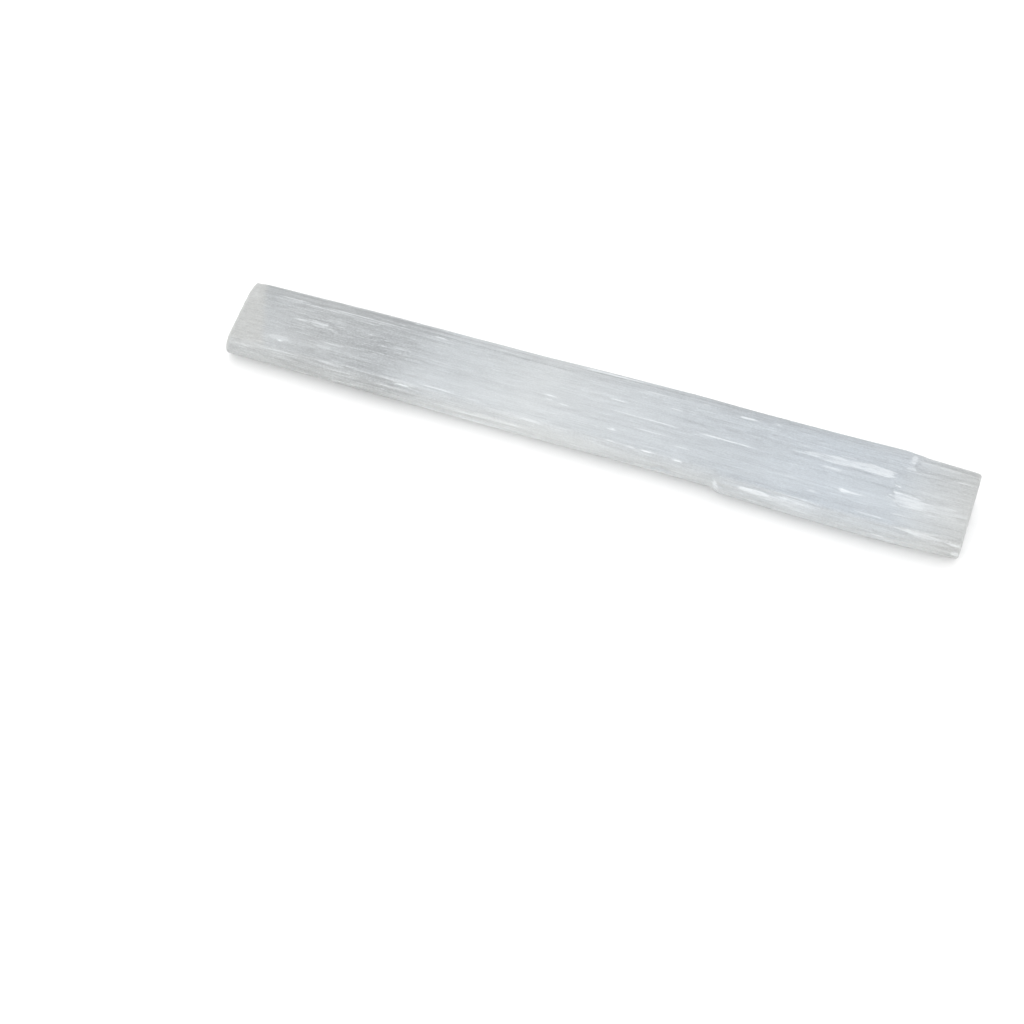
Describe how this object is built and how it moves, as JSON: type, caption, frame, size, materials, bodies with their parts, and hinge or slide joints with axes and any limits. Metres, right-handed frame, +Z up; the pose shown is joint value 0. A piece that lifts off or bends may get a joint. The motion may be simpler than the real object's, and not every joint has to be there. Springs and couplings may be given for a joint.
{
  "type": "selenite wand",
  "caption": "Natural satin-spar selenite stick: fibrous, milky and translucent, flat underneath, with a worn end, a sawn end and split edges.",
  "frame": {"origin": "on the flat underside, below the middle of the stick", "axes": "+X along the fibres to the sawn end, +Y across to the bevelled long side, +Z up from the underside to the top face"},
  "size_m": [0.2018, 0.0282, 0.0093],
  "materials": {
    "satin_spar": "raw split satin-spar gypsum: silky along the fibres, translucent, whiter where it is bruised"
  },
  "bodies": {
    "root": {"wand": "satin_spar"}
  },
  "joints": []
}
